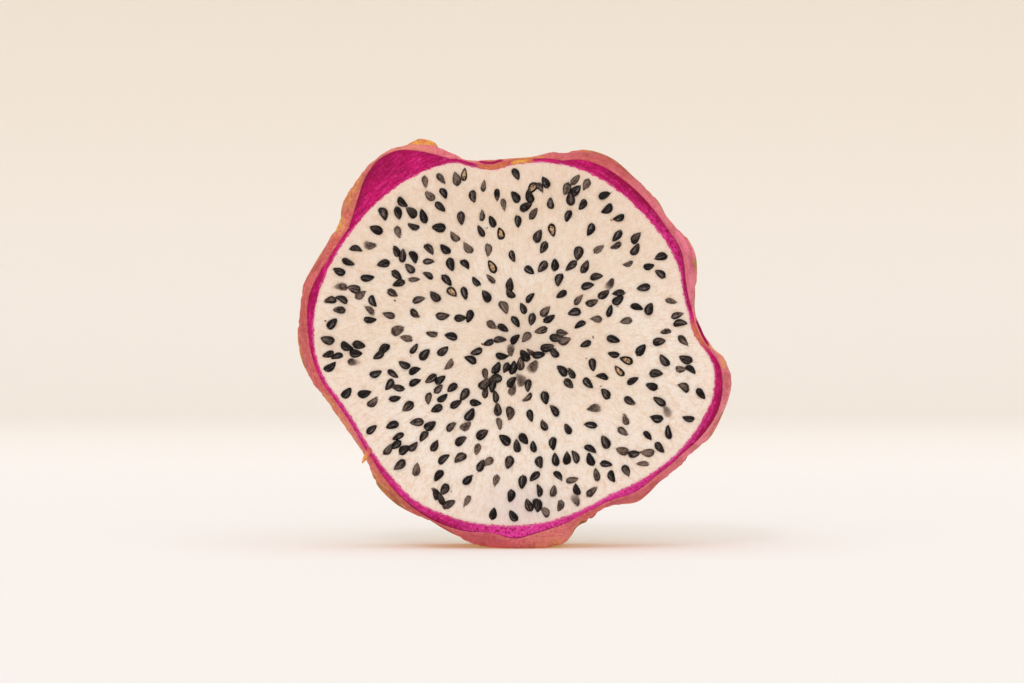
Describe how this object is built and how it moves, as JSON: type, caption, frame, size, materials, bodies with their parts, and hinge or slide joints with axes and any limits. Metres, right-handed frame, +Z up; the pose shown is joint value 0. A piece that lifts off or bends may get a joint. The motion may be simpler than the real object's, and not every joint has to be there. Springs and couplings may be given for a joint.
{
  "type": "dragon fruit slice",
  "caption": "Crosswise slice of white-fleshed dragon fruit, standing on the edge of its lobed pink peel, with black seeds on both cuts.",
  "frame": {"origin": "on the surface that the slice stands on, under the middle of its box", "axes": "+X across the slice to the right as its front cut is seen, +Y from the front cut to the rear cut, +Z up"},
  "size_m": [0.0842, 0.0172, 0.0788],
  "materials": {
    "skin": "magenta where it is cut, coral pink and finely striped outside, dull",
    "pulp": "moist cream flesh, faintly fibrous, slightly translucent",
    "seed": "black, smooth, softly glossy"
  },
  "bodies": {
    "root": {"peel": "skin", "flesh": "pulp"}
  },
  "joints": []
}
